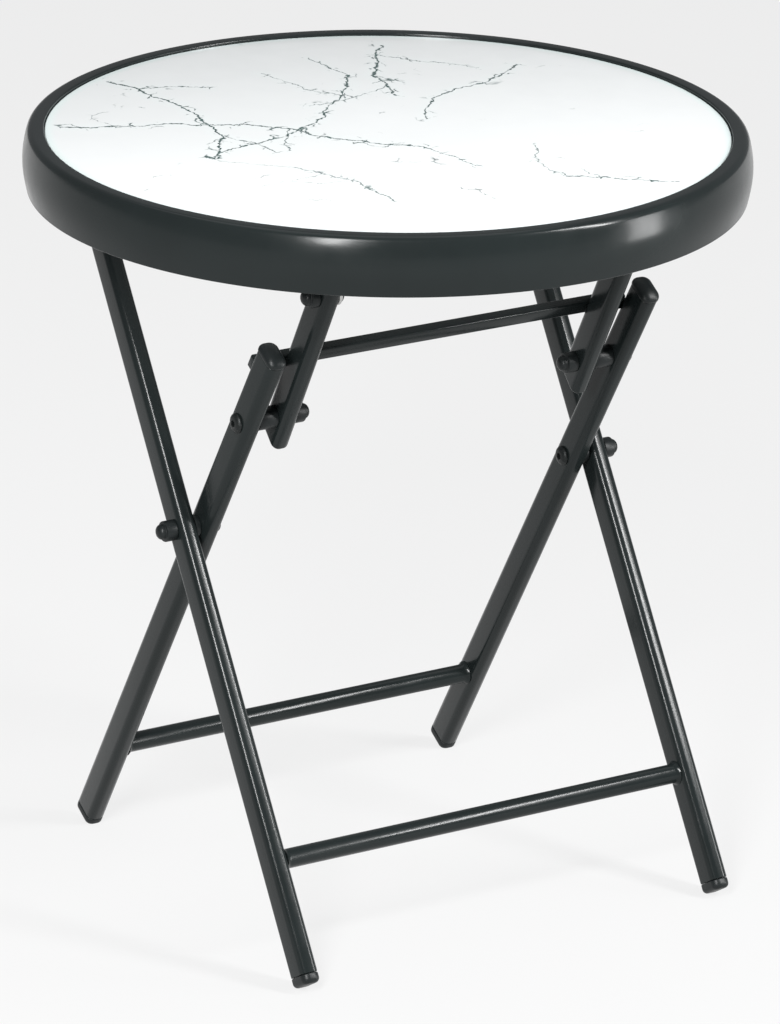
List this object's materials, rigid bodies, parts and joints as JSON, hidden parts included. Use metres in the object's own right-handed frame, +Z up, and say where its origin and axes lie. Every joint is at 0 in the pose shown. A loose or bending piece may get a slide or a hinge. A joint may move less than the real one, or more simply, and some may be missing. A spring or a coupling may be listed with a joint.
{
  "type": "folding table",
  "caption": "Round folding side table: glass top in a steel hoop on crossed tube legs that fold flat, with locking links.",
  "frame": {"origin": "on the floor, under the middle of the round top", "axes": "+Z up; Y along the crossbars and all pivot axes; +X towards the feet of the outer frame"},
  "size_m": [0.462, 0.462, 0.495],
  "materials": {
    "charcoal_paint": "satin dark powder coat",
    "black_plastic": "satin moulded",
    "black_hardware": "black finish",
    "marble_glass": "glossy, white marble print under it",
    "clear_rubber": "matt",
    "zinc_steel": "plain zinc"
  },
  "bodies": {
    "outer_frame": {"cross_bolt_left": "black_hardware", "cross_bolt_right": "black_hardware", "cross_cap_nut_left": "black_plastic", "cross_cap_nut_right": "black_plastic", "cross_spacer_left": "black_plastic", "cross_spacer_right": "black_plastic", "outer_crossbar": "charcoal_paint", "outer_foot_left": "black_plastic", "outer_foot_right": "black_plastic", "outer_leg_left": "charcoal_paint", "outer_leg_plug_left": "black_plastic", "outer_leg_plug_right": "black_plastic", "outer_leg_right": "charcoal_paint"},
    "top": {"front_rail": "charcoal_paint", "glass_gasket": "clear_rubber", "glass_top": "marble_glass", "hinge_bolt_left": "black_hardware", "hinge_bolt_right": "black_hardware", "hinge_bracket_left": "zinc_steel", "hinge_bracket_right": "zinc_steel", "hinge_nut_left": "zinc_steel", "hinge_nut_right": "zinc_steel", "link_bracket_left": "zinc_steel", "link_bracket_right": "zinc_steel", "link_top_bolt_left": "black_hardware", "link_top_bolt_right": "black_hardware", "link_top_nut_left": "black_plastic", "link_top_nut_right": "black_plastic", "rear_rail": "charcoal_paint", "top_rim": "charcoal_paint"},
    "inner_frame": {"inner_crossbar": "charcoal_paint", "inner_foot_left": "black_plastic", "inner_foot_right": "black_plastic", "inner_leg_cap_left": "black_plastic", "inner_leg_cap_right": "black_plastic", "inner_leg_left": "charcoal_paint", "inner_leg_right": "charcoal_paint", "knee_bolt_left": "black_hardware", "knee_bolt_right": "black_hardware", "knee_spacer_left": "black_plastic", "knee_spacer_right": "black_plastic", "stop_bar": "charcoal_paint", "stop_bar_plate_left": "charcoal_paint", "stop_bar_plate_right": "charcoal_paint"},
    "link_left": {"knee_nut_left": "black_plastic", "link_foot_plug_left": "black_plastic", "link_left": "charcoal_paint", "link_top_plug_left": "black_plastic"},
    "link_right": {"knee_nut_right": "black_plastic", "link_foot_plug_right": "black_plastic", "link_right": "charcoal_paint", "link_top_plug_right": "black_plastic"}
  },
  "joints": [
    {"name": "fold", "type": "hinge", "parent": "outer_frame", "child": "inner_frame", "pos_m": [0.0105, 0, 0.2563], "axis": [0, -1, 0], "range_deg": [0, 58.4]},
    {"name": "top_tilt", "type": "hinge", "parent": "outer_frame", "child": "top", "pos_m": [-0.09719, 0, 0.426], "axis": [0, 1, 0], "range_deg": [0, 47.2]},
    {"name": "link_fold_left", "type": "hinge", "parent": "top", "child": "link_left", "pos_m": [0.10966, -0.1114, 0.43302], "axis": [0, 1, 0], "range_deg": [0, 52.4]},
    {"name": "link_fold_right", "type": "hinge", "parent": "top", "child": "link_right", "pos_m": [0.10966, 0.1114, 0.43302], "axis": [0, 1, 0], "range_deg": [0, 52.4]}
  ],
  "couplings": [
    {"joint": "top_tilt", "follows": "fold", "ratio": 0.80648},
    {"joint": "link_fold_left", "follows": "fold", "ratio": 0.89561},
    {"joint": "link_fold_right", "follows": "fold", "ratio": 0.89561}
  ]
}
